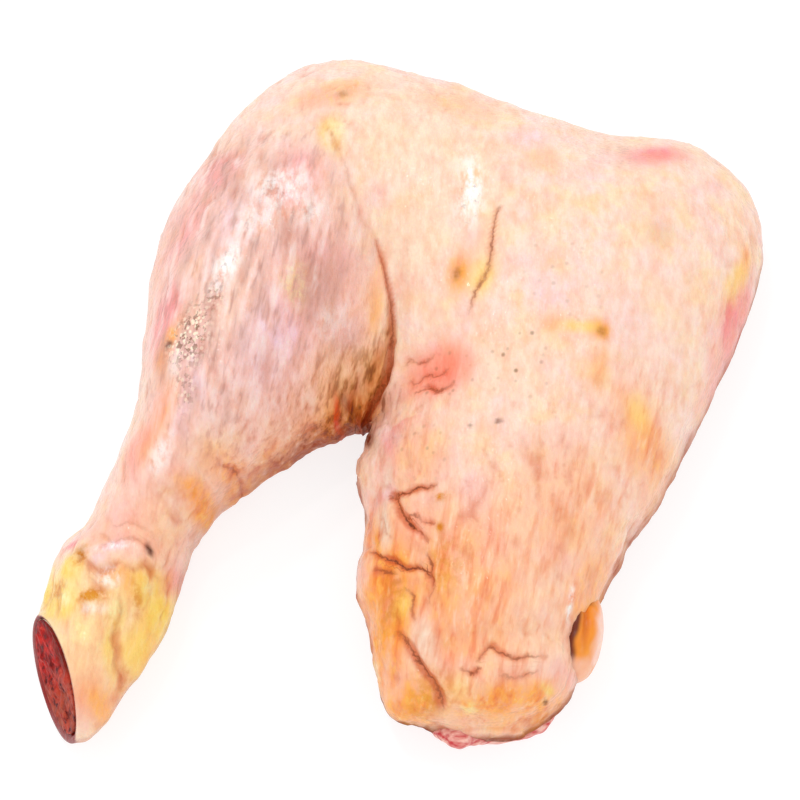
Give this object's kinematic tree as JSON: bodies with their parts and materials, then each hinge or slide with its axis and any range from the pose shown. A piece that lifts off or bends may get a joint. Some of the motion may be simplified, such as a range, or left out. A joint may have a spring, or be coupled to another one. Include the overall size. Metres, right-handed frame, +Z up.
{
  "type": "raw chicken leg quarter",
  "caption": "Raw chicken leg quarter lying skin side up, its drumstick and thigh bent together at the knee, with the shin bone showing at the cut through the hock.",
  "frame": {"origin": "on the surface that the leg quarter lies on, under the middle of its bounding box", "axes": "+Z up, out of the skin side; +Y from the thigh's cut end towards the knee; the drumstick is on the -X side and the thigh on the +X side"},
  "size_m": [0.1476, 0.1416, 0.0419],
  "materials": {
    "raw_skin": "moist raw poultry skin, pale peach with pink and yellow patches, semi-gloss",
    "cut_bone": "sawn bone end with dark red marrow, damp",
    "raw_meat": "damp raw poultry meat, pink",
    "yellow_fat": "soft yellow-orange fat, greasy gloss"
  },
  "bodies": {
    "root": {"leg_quarter": "raw_skin", "shin_bone": "cut_bone"}
  },
  "joints": []
}
